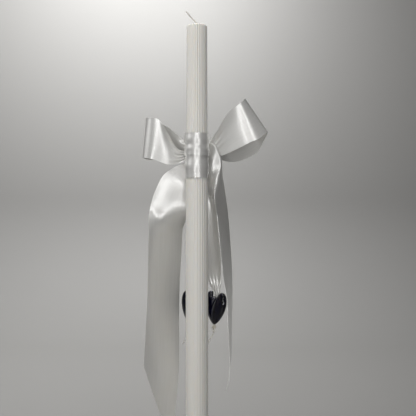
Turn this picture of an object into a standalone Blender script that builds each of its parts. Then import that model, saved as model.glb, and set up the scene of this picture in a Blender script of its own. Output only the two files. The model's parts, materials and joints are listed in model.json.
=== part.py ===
"""Unity candle: a fluted wax taper with a satin bow behind it and two glass hearts that hang from the bow.

Units are metres, +Z is up, and the origin is the centre of the candle's foot. The candle's plain side, where
the ribbon only passes round it, faces -Y. The bow, its tails and the hearts are on the +Y side.
"""

import math

import bmesh
import bpy
from mathutils import Matrix, Vector

MM = 0.001

# Fits
CLEARANCE = 0.30 * MM  # between two pieces that rest on or pass through each other
WRAP_CLEARANCE = 0.25 * MM  # between the candle and the turns of ribbon round it

# Candle
CANDLE_LENGTH = 500.0 * MM
FOOT_RADIUS = 11.0 * MM
SHOULDER_RADIUS = 10.0 * MM
TAPER_START = 310.0 * MM  # the column is straight up to here and draws in above
FLUTES = 26
FLUTE_DEPTH = 0.35 * MM
SHOULDER_ROUND = 0.8 * MM

# Wick
WICK_RADIUS = 0.75 * MM
WICK_RISE = 14.7 * MM  # height of its bent end above the shoulder
WICK_LEAN = 10.5 * MM  # how far the bent end leans towards -X
CHANNEL_FLOOR = 2.0 * MM  # wax left under the wick

# Ribbon that is wrapped and tied
RIBBON_WIDTH = 40.0 * MM
RIBBON_THICKNESS = 0.8 * MM
WRAP_THICKNESS = 0.4 * MM
WRAP_FOOT = 351.3 * MM
OUTER_TURN_WIDTH = 22.0 * MM  # the second turn is folded along its length
OUTER_TURN_RISE = 3.1 * MM  # how far the second turn stands above the first

# Knot of the bow
KNOT_WIDTH = 17.0 * MM
KNOT_DEPTH = 12.4 * MM
KNOT_HEIGHT = 20.0 * MM
KNOT_OFFSET = 2.0 * MM  # its centre is this far to +X
KNOT_RISE = 26.7 * MM  # of its centre above the lower edge of the first turn

# Ribbons that the hearts hang on
HANGER_WIDTH = 16.0 * MM
HANGER_THICKNESS = 0.8 * MM
HANGER_LENGTH = 134.6 * MM
RIGHT_HANGER_OFFSET = 17.4 * MM  # of its lower end to +X of the knot's centre
GATHER_WIDTH = 7.6 * MM  # of the hanger's pleated lower end
GATHER_LENGTH = 22.0 * MM

# Glass hearts
HEART_WIDTH = 26.5 * MM
HEART_HEIGHT = 33.5 * MM
HEART_THICKNESS = 10.0 * MM
NOTCH_WIDTH = 9.6 * MM
NOTCH_DEPTH = 6.0 * MM
HEART_TURN = math.radians(42.0)  # of the heart's face away from -Y
CHARM_LEAN = math.radians(5.0)  # of the heart and its cord away from the vertical

# Cord through each heart, its bead and its stopper knot
CORD_RADIUS = 0.60 * MM
CORD_START = 1.7 * MM  # above the floor of the heart's notch
CORD_TAIL = 13.0 * MM  # free end below the stopper knot
BEAD_RADIUS = 2.3 * MM
STOPPER_RADIUS = 1.7 * MM
STOPPER_HEIGHT = 2.8 * MM

# Fineness of the solids
ROUND_SIDES = 12
WRAP_SIDES = 32
HEART_POINTS = 28

# Sizes that follow from the ones above
KNOT_LEVEL = WRAP_FOOT + KNOT_RISE
CHANNEL_RADIUS = WICK_RADIUS + CLEARANCE
BORE_RADIUS = CORD_RADIUS + CLEARANCE


def clear_scene():
    """Remove every object and mesh that the file starts with."""
    for old in list(bpy.data.objects):
        bpy.data.objects.remove(old, do_unlink=True)


def make_material(name, colour, roughness, metallic=0.0):
    """A Principled material with a linear RGB colour."""
    material = bpy.data.materials.new(name)
    material.use_nodes = True
    shader = material.node_tree.nodes["Principled BSDF"]
    shader.inputs["Base Color"].default_value = (*colour, 1.0)
    shader.inputs["Roughness"].default_value = roughness
    shader.inputs["Metallic"].default_value = metallic
    return material


def add_object(name, data, material):
    """Put a mesh or curve in the scene as a named object with one material."""
    item = bpy.data.objects.new(name, data)
    item.data.materials.append(material)
    bpy.context.scene.collection.objects.link(item)
    return item


def mesh_from(bm, name):
    """Turn a bmesh into a smooth-shaded mesh whose faces point out."""
    bmesh.ops.recalc_face_normals(bm, faces=bm.faces)
    mesh = bpy.data.meshes.new(name)
    bm.to_mesh(mesh)
    bm.free()
    mesh.shade_smooth()
    mesh.set_sharp_from_angle(angle=math.radians(40.0))
    return mesh


def add_empty(name, location, rotation=None):
    """A pivot that moving pieces are parented to."""
    empty = bpy.data.objects.new(name, None)
    empty.location = location
    if rotation is not None:
        empty.rotation_euler = rotation.to_euler()
    bpy.context.scene.collection.objects.link(empty)
    return empty


# Candle


def candle_radius(height):
    """Radius over the crests of the flutes at a height above the foot."""
    share = max(0.0, (height - TAPER_START) / (CANDLE_LENGTH - TAPER_START))
    return FOOT_RADIUS + (SHOULDER_RADIUS - FOOT_RADIUS) * share**0.6


def flute_depth(height):
    """Depth of the grooves, which run out towards the foot."""
    return FLUTE_DEPTH * (0.35 + 0.65 * min(1.0, height / CANDLE_LENGTH))


def add_ring(bm, height, crest, groove, count):
    """A closed ring of vertices whose radius goes crest, groove, crest, groove."""
    ring = []
    for i in range(count):
        angle = 2.0 * math.pi * i / count
        radius = groove if i % 2 else crest
        ring.append(bm.verts.new((radius * math.cos(angle), radius * math.sin(angle), height)))
    for first, second in zip(ring, ring[1:] + ring[:1]):
        bm.edges.new((first, second))
    return ring


def bridge_rings(bm, rings, closed=False):
    """Join neighbouring rings with faces, and the last with the first if closed."""
    pairs = list(zip(rings, rings[1:]))
    if closed:
        pairs.append((rings[-1], rings[0]))
    for lower, upper in pairs:
        for i in range(len(lower)):
            j = (i + 1) % len(lower)
            bm.faces.new((lower[i], lower[j], upper[j], upper[i]))


def build_candle(wax):
    """The wax column: fluted outside, with the wick's channel down its middle to just above the foot."""
    bm = bmesh.new()
    count = 2 * FLUTES
    taper = [TAPER_START + (CANDLE_LENGTH - TAPER_START) * i / 6 for i in range(6)]
    heights = [0.0, TAPER_START / 2, *taper, CANDLE_LENGTH - SHOULDER_ROUND]
    rings = [add_ring(bm, z, candle_radius(z), candle_radius(z) - flute_depth(z), count) for z in heights]
    shoulder = SHOULDER_RADIUS - SHOULDER_ROUND
    rings.append(add_ring(bm, CANDLE_LENGTH, shoulder, shoulder, count))
    rings.append(add_ring(bm, CANDLE_LENGTH, CHANNEL_RADIUS, CHANNEL_RADIUS, count))
    rings.append(add_ring(bm, CHANNEL_FLOOR, CHANNEL_RADIUS, CHANNEL_RADIUS, count))
    bridge_rings(bm, rings)
    bm.faces.new(rings[0])
    bm.faces.new(rings[-1])
    return add_object("candle_body", mesh_from(bm, "candle_body"), wax)


def add_tube(name, points, radius, material):
    """A round cord along points: a poly curve with a bevel and closed ends."""
    curve = bpy.data.curves.new(name, "CURVE")
    curve.dimensions = "3D"
    curve.bevel_depth = radius
    curve.bevel_resolution = 2
    curve.use_fill_caps = True
    spline = curve.splines.new("POLY")
    spline.points.add(len(points) - 1)
    for place, point in zip(spline.points, points):
        place.co = (*point, 1.0)
    return add_object(name, curve, material)


def smooth_path(points, steps):
    """Points on a smooth curve through the given ones, with steps to each span."""
    points = [Vector(p) for p in points]
    padded = [2 * points[0] - points[1], *points, 2 * points[-1] - points[-2]]
    found = []
    for a, b, c, d in zip(padded, padded[1:], padded[2:], padded[3:]):
        for k in range(steps):
            t = k / steps
            bend = 2 * a - 5 * b + 4 * c - d
            turn = 3 * b - a - 3 * c + d
            found.append(b + 0.5 * t * (c - a) + 0.5 * t * t * bend + 0.5 * t**3 * turn)
    return [*found, points[-1]]


def build_wick(cotton):
    """The wick: up the whole channel, then bent over towards -X with a small hook."""
    top = CANDLE_LENGTH
    free_end = [
        (0.0, 0.0, top + 0.10 * WICK_RISE),
        (-0.22 * WICK_LEAN, 0.0, top + 0.33 * WICK_RISE),
        (-0.58 * WICK_LEAN, 0.0, top + 0.62 * WICK_RISE),
        (-0.86 * WICK_LEAN, 0.0, top + 0.88 * WICK_RISE),
        (-WICK_LEAN, 0.0, top + WICK_RISE - WICK_RADIUS),
    ]
    straight = [(0.0, 0.0, CHANNEL_FLOOR + CLEARANCE), (0.0, 0.0, top / 2), (0.0, 0.0, top - 8 * WICK_RADIUS)]
    return add_tube("wick", [*straight, *smooth_path(free_end, 3)], WICK_RADIUS, cotton)


# Turns of ribbon round the candle


def build_turn(name, foot, width, inside, satin):
    """A closed band round the candle; inside is its clearance outside the candle's crests."""
    bm = bmesh.new()
    heights = [foot + width * i / 3 for i in range(4)]
    radii = [candle_radius(z) for z in heights]
    inner = [add_ring(bm, z, radius + inside, radius + inside, WRAP_SIDES) for z, radius in zip(heights, radii)]
    reach = inside + WRAP_THICKNESS
    outer = [add_ring(bm, z, radius + reach, radius + reach, WRAP_SIDES) for z, radius in zip(heights, radii)]
    bridge_rings(bm, inner + outer[::-1], closed=True)
    return add_object(name, mesh_from(bm, name), satin)


def facet_sag(radius):
    """How far the flat sides of a band's ring cut inside its true circle."""
    return radius * (1.0 - math.cos(math.pi / WRAP_SIDES))


def inner_turn_reach():
    """Clearance of the first turn: its flat sides have to clear the crests."""
    return WRAP_CLEARANCE + facet_sag(FOOT_RADIUS)


def outer_turn_reach():
    """Clearance of the second turn, which lies on the first."""
    return inner_turn_reach() + WRAP_THICKNESS + WRAP_CLEARANCE


def wrap_radius():
    """Outer radius of both turns at the knot's level."""
    return candle_radius(KNOT_LEVEL - KNOT_HEIGHT / 2) + outer_turn_reach() + WRAP_THICKNESS


def build_wraps(satin):
    """The two turns: the first at the ribbon's full width, the second folded and over its upper half."""
    build_turn("ribbon_wrap_inner", WRAP_FOOT, RIBBON_WIDTH, inner_turn_reach(), satin)
    foot = WRAP_FOOT + RIBBON_WIDTH + OUTER_TURN_RISE - OUTER_TURN_WIDTH
    build_turn("ribbon_wrap_outer", foot, OUTER_TURN_WIDTH, outer_turn_reach(), satin)


# Bow


def knot_centre():
    """Centre of the knot, just behind the turns of ribbon."""
    return Vector((KNOT_OFFSET, wrap_radius() + CLEARANCE + KNOT_DEPTH / 2, KNOT_LEVEL))


def build_knot(satin):
    """The knot: a rounded block, a little narrower at its waist."""
    bm = bmesh.new()
    bmesh.ops.create_cube(bm, size=1.0)
    bmesh.ops.subdivide_edges(bm, edges=bm.edges, cuts=1, use_grid_fill=True)
    bmesh.ops.scale(bm, vec=(KNOT_WIDTH, KNOT_DEPTH, KNOT_HEIGHT), verts=bm.verts)
    corners = [v for v in bm.verts if all(abs(c) > 1e-6 for c in v.co)]
    bmesh.ops.scale(bm, vec=(0.80, 0.72, 0.82), verts=corners)
    rims = [v for v in bm.verts if sum(abs(c) > 1e-6 for c in v.co) == 2]
    bmesh.ops.scale(bm, vec=(0.92, 0.90, 0.92), verts=rims)
    bmesh.ops.translate(bm, vec=knot_centre(), verts=bm.verts)
    return add_object("bow_knot", mesh_from(bm, "bow_knot"), satin)


def build_strip(name, stations, width, thickness, material, kept=0.0, steps=2, across=4):
    """A band of ribbon as a closed sheet.

    Each station is a cross-section on the ribbon's way: its centre from the knot's centre in mm, the
    direction to its first edge with a length of 1 where it lies flat and less where it is gathered, and
    how far its middle bellies out in mm. Where kept is -1, a station gives the second edge in place of
    the centre, so that edge keeps its way whatever the width.
    """
    centres = smooth_path([MM * Vector(s[0]) for s in stations], steps)
    reaches = smooth_path([Vector(s[1]) for s in stations], steps)
    bellies = smooth_path([MM * Vector(s[2] if len(s) > 2 else (0, 0, 0)) for s in stations], steps)
    bm = bmesh.new()
    bmesh.ops.create_grid(bm, x_segments=len(centres) - 1, y_segments=across, size=0.5)
    for vert in bm.verts:
        row = round((vert.co.x + 0.5) * (len(centres) - 1))
        side = 2.0 * vert.co.y
        belly = bellies[row] * (1.0 - side * side)
        vert.co = knot_centre() + centres[row] + reaches[row] * (side - kept) * width / 2 + belly
    mesh = mesh_from(bm, name)
    strip = add_object(name, mesh, material)
    wall = strip.modifiers.new("wall", "SOLIDIFY")
    wall.thickness = thickness
    wall.offset = 0.0
    return strip


def build_loops(satin):
    """The two loops. Each leaves the knot's side nearer the candle, turns round and comes back behind."""
    side = KNOT_WIDTH / 2 / MM + CLEARANCE / MM
    left = [
        ((-side, -3.0, -0.5), (0.0, 0.0, 0.22)),
        ((-14.5, -5.0, -3.5), (-0.03, 0.0, 0.20)),
        ((-22.5, -8.5, -3.8), (-0.03, 0.0, 0.36)),
        ((-31.5, -11.2, 3.0), (0.03, 0.0, 0.75)),
        ((-40.2, -11.5, 11.3), (0.06, -0.02, 1.0)),
        ((-49.2, -9.8, 13.8), (0.06, 0.0, 1.0)),
        ((-54.5, -4.0, 14.2), (0.09, 0.0, 0.99)),
        ((-50.8, 2.2, 14.5), (0.06, 0.0, 1.0)),
        ((-40.0, 6.0, 14.0), (0.0, 0.0, 1.0)),
        ((-29.5, 8.0, 10.5), (-0.02, 0.0, 0.92)),
        ((-20.0, 7.0, 6.0), (0.0, 0.0, 0.65)),
        ((-13.5, 4.5, 3.5), (0.02, 0.0, 0.47)),
        ((-side, 2.5, 2.0), (0.0, 0.0, 0.30)),
    ]
    right = [
        ((side, -1.0, 2.5), (0.0, 0.0, 0.37)),
        ((15.2, -1.5, 3.0), (-0.09, 0.0, 0.45)),
        ((29.5, -7.0, 17.0), (-0.22, 0.0, 0.80)),
        ((43.0, -11.2, 26.2), (-0.33, 0.0, 0.89)),
        ((51.6, -10.5, 31.0), (-0.45, -0.02, 0.88)),
        ((57.0, -5.5, 36.2), (-0.56, -0.02, 0.82)),
        ((56.4, 2.5, 30.0), (-0.47, -0.12, 0.87)),
        ((53.2, 8.2, 19.8), (-0.34, -0.22, 0.91)),
        ((42.2, 10.2, 12.8), (-0.28, -0.27, 0.92)),
        ((31.2, 9.4, 9.0), (-0.25, -0.25, 0.90)),
        ((21.5, 7.8, 7.6), (-0.18, -0.12, 0.75)),
        ((13.8, 5.0, 6.0), (-0.06, 0.0, 0.50)),
        ((side, 3.0, 4.0), (0.0, 0.0, 0.30)),
    ]
    build_strip("bow_loop_left", left, RIBBON_WIDTH, RIBBON_THICKNESS, satin)
    build_strip("bow_loop_right", right, RIBBON_WIDTH, RIBBON_THICKNESS, satin)


def build_tails(satin):
    """The two tails. The left one hangs flat with a slanted end; the right one folds, then turns edge on.

    The left one's stations give its edge nearer the hearts. The right one hangs clear of its heart.
    """
    under = -(KNOT_HEIGHT / 2 + RIBBON_THICKNESS + CLEARANCE) / MM
    left = [
        ((1.0, 3.0, under), (-0.2, -0.16, 0.0)),
        ((0.4, 1.2, -24.6), (-0.52, -0.12, 0.28), (0.0, -0.6, 0.0)),
        ((-0.8, -1.9, -39.0), (-0.86, -0.07, 0.4), (0.0, -1.6, 0.0)),
        ((-5.2, -1.6, -48.0), (-0.95, -0.11, 0.25), (0.0, -2.6, 0.0)),
        ((-8.8, 0.1, -55.4), (-0.96, -0.17, 0.17), (0.0, -2.6, 0.0)),
        ((-12.4, 3.8, -62.5), (-0.92, -0.32, 0.1), (0.0, -2.2, 0.0)),
        ((-15.2, 6.6, -69.5), (-0.86, -0.46, 0.05), (0.0, -1.4, 0.0)),
        ((-17.7, 8.4, -81.4), (-0.79, -0.59, 0.02)),
        ((-20.2, 9.1, -148.3), (-0.77, -0.63, 0.0)),
        ((-20.9, 7.8, -205.0), (-0.82, -0.59, 0.15)),
        ((-23.0, 7.1, -250.0), (-0.8, -0.58, 1.0)),
        ((-27.4, 6.4, -293.6), (-0.7, -0.56, 1.95)),
    ]
    beside = (KNOT_WIDTH / 2 + 2 * CLEARANCE) / MM
    clear = (RIGHT_HANGER_OFFSET + HEART_WIDTH / 2 * math.cos(HEART_TURN)) / MM
    right = [
        ((beside, -4.5, 5.0), (-0.01, -0.05, -0.36), (1.4, -1.5, 2.0)),
        ((12.2, -6.0, -4.5), (-0.14, 0.02, -0.48), (4.3, -4.0, 5.5)),
        ((14.5, -3.5, -18.0), (-0.30, 0.02, -0.40), (6.5, -5.5, 6.0)),
        ((16.5, 2.5, -33.0), (-0.40, -0.12, -0.25), (2.0, -12.0, 5.0)),
        ((21.0, 4.5, -46.5), (-0.30, -0.42, -0.12), (-4.0, -14.0, 2.5)),
        ((23.9, 5.8, -65.0), (-0.30, -0.81, -0.05), (-3.4, -4.8, 1.0)),
        ((clear - 0.85, 7.0, -93.0), (-0.29, -0.95, 0.0), (-1.0, 0.0, 0.0)),
        ((clear + 1.75, 7.2, -123.0), (-0.25, -0.96, 0.0)),
        ((clear + 3.75, 7.5, -148.0), (-0.17, -0.98, 0.0)),
        ((clear + 4.05, 7.5, -178.0), (-0.13, -0.98, 0.0)),
        ((clear + 4.45, 7.5, -206.5), (-0.08, -0.98, 0.17)),
        ((clear + 2.95, 7.5, -224.0), (0.0, -0.98, 0.40)),
        ((clear + 1.65, 7.0, -237.5), (0.05, -0.95, 0.57)),
    ]
    build_strip("bow_tail_left", left, RIBBON_WIDTH, RIBBON_THICKNESS, satin, kept=-1.0)
    build_strip("bow_tail_right", right, RIBBON_WIDTH, RIBBON_THICKNESS, satin)


# Hearts on their ribbons


def hanger_stations(top, end, flat_centre):
    """Cross-sections of a hanger: gathered under the knot, flat, then pleated together at its lower end."""
    top, end, flat_centre = Vector(top), Vector(end), Vector(flat_centre)
    narrow = GATHER_WIDTH / HANGER_WIDTH
    gather = GATHER_LENGTH / MM
    return [
        (top, (narrow, 0.0, 0.0)),
        (top.lerp(flat_centre, 0.35), (0.68, 0.0, 0.0)),
        (top.lerp(flat_centre, 0.7), (1.0, 0.0, 0.0)),
        (flat_centre, (1.0, 0.0, 0.0)),
        (end + Vector((flat_centre.x - end.x, 0.0, 1.6 * gather)), (1.0, 0.0, 0.0)),
        (end + Vector((0.35 * (flat_centre.x - end.x), 0.0, 0.75 * gather)), (0.72, 0.0, 0.0)),
        (end + Vector((0.0, 0.0, 0.25 * gather)), (narrow, 0.0, 0.0)),
        (end, (narrow, 0.0, 0.0)),
    ]


def heart_outline():
    """The heart's edge as (x, z) pairs, z down from the floor of the notch."""
    raw = []
    for i in range(HEART_POINTS):
        t = 2.0 * math.pi * (i + 0.5) / HEART_POINTS
        x = math.copysign(abs(math.sin(t)) ** 2.3, math.sin(t))
        z = 13 * math.cos(t) - 5 * math.cos(2 * t) - 2 * math.cos(3 * t) - math.cos(4 * t)
        raw.append((x, z))
    top, foot = max(z for _, z in raw), min(z for _, z in raw)
    half_width = max(x for x, _ in raw)
    tall = HEART_HEIGHT / (top - foot)
    return [(x / half_width * HEART_WIDTH / 2, (z - top) * tall + NOTCH_DEPTH) for x, z in raw]


def build_heart(name, glass, pivot):
    """A pillow-shaped heart with a notch at its top for the ribbon and a bore down to its point."""
    outline = heart_outline()
    middle = NOTCH_DEPTH - 0.45 * HEART_HEIGHT
    bm = bmesh.new()
    rings = []
    for i in range(7):
        angle = math.radians(-66.0 + 22.0 * i)
        shrink = math.cos(angle) ** 0.55
        depth = HEART_THICKNESS / 2 * math.sin(angle) / math.sin(math.radians(66.0))
        ring = [bm.verts.new((x * shrink, depth, middle + (z - middle) * shrink)) for x, z in outline]
        rings.append(ring)
    bridge_rings(bm, rings)
    bm.faces.new(rings[0])
    bm.faces.new(rings[-1][::-1])
    heart = add_object(name, mesh_from(bm, name), glass)
    heart.parent = pivot
    notch = bmesh.new()
    bmesh.ops.create_cube(notch, size=1.0)
    bmesh.ops.scale(notch, vec=(NOTCH_WIDTH, 2 * HEART_THICKNESS, 4 * NOTCH_DEPTH), verts=notch.verts)
    bmesh.ops.translate(notch, vec=(0.0, 0.0, 2 * NOTCH_DEPTH), verts=notch.verts)
    cut(heart, mesh_from(notch, name + "_notch"), pivot)
    bore = bmesh.new()
    bmesh.ops.create_cone(
        bore,
        cap_ends=True,
        segments=ROUND_SIDES,
        radius1=BORE_RADIUS,
        radius2=BORE_RADIUS,
        depth=3 * HEART_HEIGHT,
    )
    cut(heart, mesh_from(bore, name + "_bore"), pivot)
    return heart


def cut(item, mesh, pivot):
    """Take a cutter's shape out of an object."""
    cutter = bpy.data.objects.new(mesh.name, mesh)
    bpy.context.scene.collection.objects.link(cutter)
    cutter.parent = pivot
    cutter.hide_render = True
    cutter.display_type = "WIRE"
    boolean = item.modifiers.new(mesh.name, "BOOLEAN")
    boolean.operation = "DIFFERENCE"
    boolean.solver = "EXACT"
    boolean.object = cutter


def build_threaded(name, level, radius, height, material, pivot):
    """A round piece threaded on the cord: a fat ring about the cord's axis, centred at level."""
    bm = bmesh.new()
    rise = height / 2
    arc = 6
    profile = []
    lip = math.asin(min(1.0, (BORE_RADIUS + 0.1 * MM) / radius))
    for i in range(arc + 1):
        angle = lip + (math.pi - 2 * lip) * i / arc
        profile.append((radius * math.sin(angle), rise * math.cos(angle)))
    top = profile[0][1]
    points = [(BORE_RADIUS, top), *profile, (BORE_RADIUS, -top)]
    count = ROUND_SIDES
    rings = []
    for x, z in points:
        rings.append(add_ring(bm, level + z, x, x, count))
    bridge_rings(bm, rings, closed=True)
    item = add_object(name, mesh_from(bm, name), material)
    item.parent = pivot
    return item


def build_charm(side, end, glass, pearl, cord):
    """A heart, its bead, its stopper knot and its cord, on a pivot under the hanger's end.

    end is the hanger's lower end from the knot's centre, in mm.
    """
    turn = Matrix.Rotation(CHARM_LEAN, 4, "Y") @ Matrix.Rotation(-HEART_TURN, 4, "Z")
    seat = knot_centre() + MM * Vector(end) - Vector((0.0, 0.0, CORD_START + CLEARANCE))
    pivot = add_empty(f"charm_{side}_pivot", seat, turn)
    build_heart(f"heart_charm_{side}", glass, pivot)
    point = NOTCH_DEPTH - HEART_HEIGHT
    bead_level = point - CLEARANCE - BEAD_RADIUS
    build_threaded(f"pearl_bead_{side}", bead_level, BEAD_RADIUS, 2 * BEAD_RADIUS, pearl, pivot)
    stopper_level = bead_level - BEAD_RADIUS - CLEARANCE - STOPPER_HEIGHT / 2
    build_threaded(f"cord_knot_{side}", stopper_level, STOPPER_RADIUS, STOPPER_HEIGHT, cord, pivot)
    exit_level = stopper_level - STOPPER_HEIGHT / 2
    sway = Matrix.Rotation(HEART_TURN, 3, "Z")
    free_end = [(0, 0, 0), (0, 0, -0.10), (-0.10, 0, -0.34), (-0.27, 0, -0.66), (-0.40, 0, -1.0)]
    route = [sway @ Vector(p) * CORD_TAIL + Vector((0.0, 0.0, exit_level)) for p in free_end]
    straight = [Vector((0.0, 0.0, CORD_START)), Vector((0.0, 0.0, exit_level / 2))]
    tube = add_tube(f"charm_cord_{side}", [*straight, *smooth_path(route, 2)], CORD_RADIUS, cord)
    tube.parent = pivot
    return pivot


def build_hangers(satin, glass, pearl, cord):
    """Both ribbons under the knot with a heart on each. The right one is nearer the candle."""
    under = -(KNOT_HEIGHT / 2 + CLEARANCE) / MM
    foot = under - HANGER_LENGTH / MM
    right_end = (RIGHT_HANGER_OFFSET / MM, 5.8, foot)
    left_end = (-7.4, 10.2, foot)
    right = hanger_stations((5.5, 4.2, under), right_end, (14.4, 5.8, -80.0))
    left = hanger_stations((-3.6, 8.4, under), left_end, (-4.6, 10.2, -80.0))
    build_strip("charm_ribbon_right", right, HANGER_WIDTH, HANGER_THICKNESS, satin)
    build_strip("charm_ribbon_left", left, HANGER_WIDTH, HANGER_THICKNESS, satin)
    build_charm("right", right_end, glass, pearl, cord)
    build_charm("left", left_end, glass, pearl, cord)


def main():
    """Build every piece."""
    clear_scene()
    wax = make_material("ivory_wax", (0.83, 0.80, 0.74), 0.45)
    cotton = make_material("waxed_cotton", (0.86, 0.84, 0.79), 0.70)
    satin = make_material("white_satin", (0.84, 0.84, 0.82), 0.38)
    glass = make_material("cobalt_glass", (0.006, 0.006, 0.045), 0.05)
    pearl = make_material("cream_pearl", (0.78, 0.70, 0.55), 0.25)
    cord = make_material("white_cord", (0.82, 0.81, 0.77), 0.60)
    build_candle(wax)
    build_wick(cotton)
    build_wraps(satin)
    build_knot(satin)
    build_loops(satin)
    build_tails(satin)
    build_hangers(satin, glass, pearl, cord)


main()
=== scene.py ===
"""Looks of the unity candle: a fluted wax taper, a satin bow tied behind it and two glass hearts on ribbons.

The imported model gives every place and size, through its boxes and joints. Each class below is one
sub-assembly: it holds its own sizes, builds its meshes in the row frame and dresses them. Names that end in
_mm are in millimetres, and everything else is in metres.
"""

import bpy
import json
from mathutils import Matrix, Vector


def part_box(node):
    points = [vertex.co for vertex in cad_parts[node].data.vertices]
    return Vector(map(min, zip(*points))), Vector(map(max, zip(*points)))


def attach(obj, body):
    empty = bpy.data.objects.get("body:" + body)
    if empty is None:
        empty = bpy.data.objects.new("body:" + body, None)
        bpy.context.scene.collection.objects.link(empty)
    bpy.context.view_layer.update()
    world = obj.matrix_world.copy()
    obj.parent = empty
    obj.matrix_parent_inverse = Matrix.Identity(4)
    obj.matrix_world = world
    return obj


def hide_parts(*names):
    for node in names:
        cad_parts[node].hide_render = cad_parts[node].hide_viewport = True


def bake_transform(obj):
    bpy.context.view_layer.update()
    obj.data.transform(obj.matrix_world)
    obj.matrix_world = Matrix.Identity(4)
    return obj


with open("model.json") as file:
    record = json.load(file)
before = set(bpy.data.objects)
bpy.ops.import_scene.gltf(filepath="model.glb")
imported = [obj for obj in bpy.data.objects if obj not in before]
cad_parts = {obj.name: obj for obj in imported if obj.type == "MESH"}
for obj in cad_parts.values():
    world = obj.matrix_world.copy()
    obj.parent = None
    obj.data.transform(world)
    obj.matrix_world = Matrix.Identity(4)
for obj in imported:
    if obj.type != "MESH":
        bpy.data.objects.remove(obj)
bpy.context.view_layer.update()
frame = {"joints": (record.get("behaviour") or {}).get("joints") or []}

import json
import logging
import math
from collections.abc import Callable, Mapping, Sequence
from dataclasses import dataclass, field
from enum import Enum

import bmesh
import bpy
from mathutils import Matrix, Vector

MM = 0.001
UV_NAME = "Weave"
log = logging.getLogger("unity_candle")

Point = tuple[float, float, float]
Colour = tuple[float, float, float, float]
Tree = bpy.types.NodeTree
Socket = bpy.types.NodeSocket
Item = bpy.types.Object
Shape = bmesh.types.BMesh


class Side(Enum):
    """The two sides of the bow, as seen from the candle's plain side."""

    LEFT = "left"
    RIGHT = "right"


# Small tools


def linear(code: str) -> Colour:
    """Turn an sRGB hex colour into linear light.

    Args:
        code: The colour as #RRGGBB.

    Returns:
        Red, green, blue and an alpha of 1.
    """
    parts = [int(code[i : i + 2], 16) / 255.0 for i in (1, 3, 5)]
    red, green, blue = [c / 12.92 if c <= 0.04045 else ((c + 0.055) / 1.055) ** 2.4 for c in parts]
    return red, green, blue, 1.0


def add_node(
    tree: Tree, kind: str, settings: dict | None = None, links: dict | None = None
) -> bpy.types.Node:
    """Add one node with its settings and links.

    Args:
        tree: The node tree that gets it.
        kind: The node's type.
        settings: Values by the name or number of an input, or by the name of a setting.
        links: Output sockets of other nodes by the name or number of the input they feed.

    Returns:
        The node.
    """
    node = tree.nodes.new(kind)
    for key, value in (settings or {}).items():
        if isinstance(key, int) or key in node.inputs:
            node.inputs[key].default_value = value
        else:
            setattr(node, key, value)
    for key, source in (links or {}).items():
        tree.links.new(source, node.inputs[key])
    return node


def smooth_line(points: Sequence[Vector], steps: int) -> list[Vector]:
    """Find points on a smooth curve through the given ones.

    Args:
        points: The points that the curve passes through.
        steps: The number of points for each span.

    Returns:
        The points, ends included.
    """
    points = [Vector(p) for p in points]
    padded = [2 * points[0] - points[1], *points, 2 * points[-1] - points[-2]]
    found = []
    for a, b, c, d in zip(padded, padded[1:], padded[2:], padded[3:]):
        for k in range(steps):
            t = k / steps
            bend = 2 * a - 5 * b + 4 * c - d
            turn = 3 * b - a - 3 * c + d
            found.append(b + 0.5 * t * (c - a) + 0.5 * t * t * bend + 0.5 * t**3 * turn)
    return [*found, points[-1]]


def smoothstep(low: float, high: float, value: float) -> float:
    """Rise from 0 at low to 1 at high with a level start and end."""
    share = min(1.0, max(0.0, (value - low) / (high - low)))
    return share * share * (3.0 - 2.0 * share)


def middle(node: str) -> Vector:
    """Centre of a CAD node's box."""
    low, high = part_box(node)
    return (low + high) / 2


def joint_named(name: str) -> dict:
    """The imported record's entry for a joint."""
    return next(j for j in frame["joints"] if j["name"] == name)


def object_from(bm: Shape, name: str, sharp_deg: float = 50.0) -> Item:
    """Turn a bmesh into a smooth-shaded object in the scene.

    Args:
        bm: The shape, which is freed.
        name: The object's name.
        sharp_deg: Edges that turn by more than this stay sharp.

    Returns:
        The object, at the origin.
    """
    bmesh.ops.recalc_face_normals(bm, faces=bm.faces)
    mesh = bpy.data.meshes.new(name)
    bm.to_mesh(mesh)
    bm.free()
    mesh.shade_smooth()
    mesh.set_sharp_from_angle(angle=math.radians(sharp_deg))
    item = bpy.data.objects.new(name, mesh)
    bpy.context.scene.collection.objects.link(item)
    return item


def apply_modifiers(item: Item, sharp_deg: float = 50.0) -> Item:
    """Make an object's mesh what its modifiers show, and take the modifiers off.

    Args:
        item: The object.
        sharp_deg: Edges that turn by more than this are made sharp.

    Returns:
        The same object.
    """
    shown = item.evaluated_get(bpy.context.evaluated_depsgraph_get())
    mesh = bpy.data.meshes.new_from_object(shown)
    item.modifiers.clear()
    item.data = mesh
    mesh.shade_smooth()
    mesh.set_sharp_from_angle(angle=math.radians(sharp_deg))
    return item


def extrude_ring(
    bm: Shape, edges: list[bmesh.types.BMEdge]
) -> tuple[list[bmesh.types.BMVert], list[bmesh.types.BMEdge]]:
    """Extrude a ring of edges in place.

    Args:
        bm: The mesh.
        edges: The ring's edges.

    Returns:
        The new ring's vertices and edges.
    """
    made = bmesh.ops.extrude_edge_only(bm, edges=edges)["geom"]
    verts = [g for g in made if isinstance(g, bmesh.types.BMVert)]
    known = set(verts)
    fresh = [g for g in made if isinstance(g, bmesh.types.BMEdge) and known.issuperset(g.verts)]
    return verts, fresh


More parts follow.
